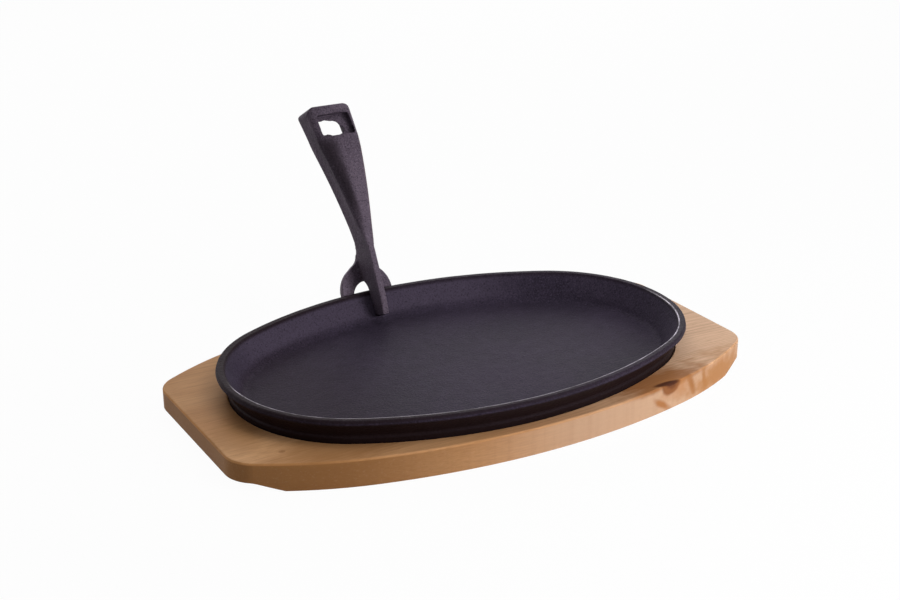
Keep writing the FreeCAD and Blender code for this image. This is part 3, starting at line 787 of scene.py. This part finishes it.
flash = {
    "thickness": 1.0 * mm,
    "depth": 5.0 * mm,                      # behind the front face
    "outer": (-10.6, 12.2, 93.6, 110.0),    # left, right, bottom and top in mm, within the eye's iron
    # the ragged opening, mm across and up the grip
    "opening": [(-8.8, 105.6), (-5.5, 105.5), (-3.9, 106.2), (-2.1, 105.7), (0.0, 105.1), (2.0, 105.0),
                (3.4, 104.2), (4.2, 103.4), (4.7, 102.3), (5.3, 101.4), (6.0, 100.6), (6.9, 100.1),
                (7.0, 99.1), (6.5, 97.7), (5.7, 96.7), (4.7, 96.2), (3.6, 95.9), (2.6, 95.3),
                (1.2, 95.1), (-0.4, 95.2), (-1.9, 95.7), (-3.2, 96.5), (-4.3, 96.4), (-4.7, 97.1),
                (-5.8, 96.4), (-6.9, 96.6), (-8.8, 96.3), (-9.0, 99.0), (-9.0, 102.5)],
}

gripFrame = Matrix.Translation(Vector(grip["place"])) @ Matrix.Rotation(math.radians(-grip["lean"]), 4, "X")


def gripLightAndShade(place):
    # painted light on the left side, front face, plate and head's top, a painted reflection on the right
    # front edge, and painted shade in the fold, at the head's upper left corner and at the tongue's tip,
    # found in the grip's own upright frame
    x, y, z = splitUp(place)
    lean = math.radians(grip["lean"])
    px, py, pz = grip["place"]
    across = x - px
    out = (y - py) * math.cos(lean) - (z - pz) * math.sin(lean)
    up = (y - py) * math.sin(lean) + (z - pz) * math.cos(lean)
    over = (up - grip["bendStart"]).most(0.0)
    behind = out - (grip["bendRadius"] - grip["frontFace"]) + (grip["bendRadius"] ** 2 - over * over).root()
    half = up.ramp(grip["flareStart"], grip["shoulder"], *grip["halfWidth"][:2])
    height = spans(up, grip["heights"])
    alongX = spans(across, grip["alongX"])
    near = spans(behind, grip["behinds"])
    share = grip["shares"]

    shank = height["shankFoot"] * height["shankTop"]
    wave = (place.noise(*grip["foldNoise"]) - 0.5) * grip["foldWave"]
    turned = (half + across - behind + wave) / half
    # painted light on the left side, front face, plate and head's top
    side = turned.step(*grip["sideStart"]) * shank * alongX["left"]
    # painted reflection along the right front edge
    edgeReflection = (across - half).span(grip["edgeReflectionBand"]) * near["edgeReflection"] * shank
    face = near["face"] * height["face"]
    plate = x.span(grip["plateLeft"]) * z.span(grip["plateLow"])
    crest = height["crest"] * alongX["crest"]
    lightAndShadeBelow = [
        (edgeReflection * share["edgeReflection"], grip["edgeReflectionColor"]),
        (face * share["face"] + plate * share["plate"], grip["litColor"]),
        (crest * share["crest"] + side * share["side"], grip["litColor"]),
    ]
    # painted shade in the fold along the left front edge, at the head's upper left corner and at the
    # tongue's tip
    fold = turned.step(*grip["foldStart"]) * turned.step(*grip["foldEnd"])
    fold = fold * shank * height["fold"] * alongX["left"]
    corner = height["corner"] * alongX["corner"]
    tip = z.span(grip["tipLow"])
    paintedShade = (fold * share["fold"]).most(corner * share["corner"]).most(tip * share["tip"])
    return lightAndShadeBelow, [(paintedShade, grip["foldShadeColor"])], None


def between(low, high, share):
    return low + (high - low) * min(1.0, max(0.0, share))


def ease(value, low, high):
    # 0 at low, 1 at high, smooth between
    share = between(0.0, 1.0, (value - low) / (high - low))
    return share * share * (3 - 2 * share)


def frontAt(up):
    # where the curved front face is at a height, in the grip's own frame
    over = max(0.0, up - grip["bendStart"])
    return grip["bendRadius"] - grip["frontFace"] - math.sqrt(grip["bendRadius"] ** 2 - over ** 2)


def halfWidthAt(up):
    low, middle, high = grip["halfWidth"]
    if up > grip["shoulder"]:
        return between(middle, high, (up - grip["shoulder"]) / (grip["top"] - grip["shoulder"]))
    return between(low, middle, (up - grip["flareStart"]) / (grip["shoulder"] - grip["flareStart"]))


def onFrame(px, pz):
    # the point of the flash's outer rectangle in the same direction from its middle
    left, right, bottom, top = flash["outer"]
    cx = (left + right) / 2
    cz = (bottom + top) / 2
    dx = px - cx
    dz = pz - cz
    reachX = (right - cx) / abs(dx) if dx else math.inf
    reachZ = (top - cz) / abs(dz) if dz else math.inf
    reach = min(reachX, reachZ)
    return cx + dx * reach, cz + dz * reach


def flashData():
    # a thin web that follows the curve of the grip's front and has a ragged opening
    mesh = bmesh.new()
    rings = []
    for depth in (flash["depth"] - flash["thickness"] / 2, flash["depth"] + flash["thickness"] / 2):
        for isOuter in (True, False):
            ring = []
            for px, pz in flash["opening"]:
                qx, qz = onFrame(px, pz) if isOuter else (px, pz)
                up = qz * mm
                ring.append(mesh.verts.new(gripFrame @ Vector((qx * mm, frontAt(up) + depth, up))))
            rings.append(ring)
    frontOuter, frontInner, backOuter, backInner = rings
    count = len(flash["opening"])
    for first, second in ((frontInner, frontOuter), (frontOuter, backOuter), (backOuter, backInner),
                          (backInner, frontInner)):
        for i in range(count):
            j = (i + 1) % count
            mesh.faces.new((first[i], first[j], second[j], second[i]))
    bmesh.ops.recalc_face_normals(mesh, faces=mesh.faces)
    data = bpy.data.meshes.new("flash")
    mesh.to_mesh(data)
    return data


def onArc(first, second, radius):
    # depths below a corner's two faces; a point outside the corner's arc moves onto it
    if radius <= 0 or first >= radius or second >= radius:
        return first, second
    away = math.hypot(radius - first, radius - second)
    if away <= radius:
        return first, second
    return radius - (radius - first) * radius / away, radius - (radius - second) * radius / away


def roundOver(mesh):
    # moves the points at the front, back and top edges onto arcs and fills the scoops in part
    toGrip = gripFrame.inverted()
    behindFrom, behindTo = grip["scoopBehind"]
    for vertex in mesh.vertices:
        spot = toGrip @ vertex.co
        if spot.z < grip["roundFrom"][0]:
            continue
        onRight = spot.x > 0
        low = ease(spot.z, *grip["roundFrom"])
        head = ease(spot.z, *grip["headFrom"])
        half = halfWidthAt(spot.z)
        if onRight:
            swollen = half + grip["rightSwell"] * low * (1 - head)
            spot.x *= swollen / half
            half = swollen
        share = (spot.z - grip["bendStart"]) / (grip["top"] - grip["bendStart"])
        depth = between(*grip["depth"], share)
        inside = half - abs(spot.x)
        behind = spot.y - frontAt(spot.z)
        inScoop = 0 < inside < grip["scoopDepth"] and behindFrom < behind < behindTo
        if inScoop and spot.z < grip["scoopTop"]:
            inside *= 1 - grip["scoopFill"] * low
        shank = min(grip["frontRound"][onRight], half * grip["frontRoundLimit"])
        inside, behind = onArc(inside, behind, between(shank, grip["headFrontRound"][onRight], head) * low)
        inside, behindBack = onArc(inside, depth - behind, between(*grip["backRound"], head) * low)
        inside, under = onArc(inside, grip["top"] - spot.z, grip["topRound"][onRight])
        behindBack, under = onArc(behindBack, under, grip["backTopRound"])
        spot.z = grip["top"] - under
        spot.x = math.copysign(half - inside, spot.x)
        spot.y = frontAt(spot.z) + depth - behindBack
        vertex.co = gripFrame @ spot


def softGrip():
    mesh = bmesh.new()
    mesh.from_mesh(nodes["grip_handle"].data)
    bmesh.ops.remove_doubles(mesh, verts=mesh.verts, dist=grip["doubles"])
    mesh.from_mesh(flashData())
    data = bpy.data.meshes.new("gripCast")
    mesh.to_mesh(data)
    body = newObject("gripCast", data)

    remesh = body.modifiers.new("remesh", "REMESH")
    remesh.mode = "VOXEL"
    remesh.voxel_size = grip["voxel"]
    fused = evaluated(body)
    body.modifiers.clear()
    body.data = fused
    roundOver(fused)

    soft = body.modifiers.new("soft", "SMOOTH")
    soft.factor, soft.iterations = grip["softening"]
    done = evaluated(body)
    body.modifiers.clear()
    body.data = done
    for polygon in done.polygons:
        polygon.use_smooth = True
    dress(body, makeIron("gripIron", grip["colors"], gripLightAndShade))
    return body


gripCast = softGrip()
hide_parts("grip_handle")
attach(gripCast, "root")
print("grip made,", len(gripCast.data.polygons), "faces")


# Stage: pale floor, soft studio light, the photograph's camera

studio = {
    "floorSize": 6.0,
    "floorColor": (0.9, 0.9, 0.9, 1),
    "floorShadow": 0.035,                   # how much of the shaded floor shows in the white
    "white": (1, 1, 1, 1),
    "worldLight": 0.03,
    "lamps": {
        "back": {"place": (0.1, 1.15, 0.95), "target": (0, 0, 0.02), "size": 0.9, "power": 4.2},
        "backRight": {"place": (0.9, 1.1, 0.55), "target": (0, 0, 0.02), "size": 0.7, "power": 2.8},
        "frontHigh": {"place": (0.45, -0.6, 1.15), "target": (0, 0, 0.02), "size": 0.7, "power": 3.4},
        "fill": {"place": (-0.25, -1.1, 0.75), "target": (0, 0, 0.05), "size": 0.8, "power": 1.2},
        "overhead": {"place": (0.0, 0.1, 1.2), "target": (0, 0, 0.02), "size": 1.0, "power": 1.8},
        "backLeft": {"place": (-0.9, 0.7, 0.5), "target": (0, 0, 0.05), "size": 0.6, "power": 1.7},
        "rightNear": {"place": (0.33, -0.55, 0.24), "target": (0.03, 0, 0.02), "size": 0.3, "power": 2.5},
    },
}

shot = {
    "place": (-0.400336, -0.689485, 0.367180),
    "turn": (68.408653, 0.112332, -29.755785),      # degrees
    "focal": 61.536,
    "sensor": 36.0,
}


def isSeen(tree):
    # 1 for the camera's own rays and for what shows in gloss and glass
    camera = Signal(tree).add("ShaderNodeLightPath", out="Is Camera Ray")
    return camera.most(camera.output("Is Glossy Ray")).most(camera.output("Is Transmission Ray"))


def makeFloor():
    bpy.ops.mesh.primitive_plane_add(size=studio["floorSize"])
    floor = bpy.context.object
    floor.name = "floor"
    material = bpy.data.materials.new("floorWhite")
    material.use_nodes = True
    tree = material.node_tree
    tree.nodes.remove(tree.nodes["Principled BSDF"])
    seen = isSeen(tree)
    shaded = seen.add("ShaderNodeBsdfDiffuse", {}, {"Color": studio["floorColor"]})
    white = seen.add("ShaderNodeEmission", {}, {"Color": studio["white"], "Strength": 1.0})
    factor = seen * (1 - studio["floorShadow"])
    surface = seen.add("ShaderNodeMixShader", {}, {"Fac": factor, 1: shaded, 2: white})
    feed(surface, tree.nodes["Material Output"], "Surface")
    floor.data.materials.append(material)


def makeWorld():
    world = bpy.data.worlds.new("studio")
    bpy.context.scene.world = world
    world.use_nodes = True
    background = world.node_tree.nodes["Background"]
    background.inputs["Color"].default_value = studio["white"]
    seen = isSeen(world.node_tree)
    feed(seen + (1 - seen) * studio["worldLight"], background, "Strength")


def makeLamp(name, lamp):
    light = bpy.data.lights.new(name, "AREA")
    light.shape = "DISK"
    light.size = lamp["size"]
    light.energy = lamp["power"]
    holder = newObject(name, light)
    holder.location = lamp["place"]
    aim = Vector(lamp["target"]) - Vector(lamp["place"])
    holder.rotation_euler = aim.to_track_quat("-Z", "Y").to_euler()


def makeCamera():
    camera = bpy.data.cameras.new("photoCamera")
    camera.lens = shot["focal"]
    camera.sensor_width = shot["sensor"]
    camera.sensor_fit = "HORIZONTAL"
    holder = newObject("photoCamera", camera)
    holder.location = shot["place"]
    holder.rotation_euler = [math.radians(angle) for angle in shot["turn"]]
    bpy.context.scene.camera = holder


makeFloor()
makeWorld()
for lampName, lampSizes in studio["lamps"].items():
    makeLamp(lampName, lampSizes)
makeCamera()
bpy.context.scene.view_settings.view_transform = "Standard"
print("studio made")
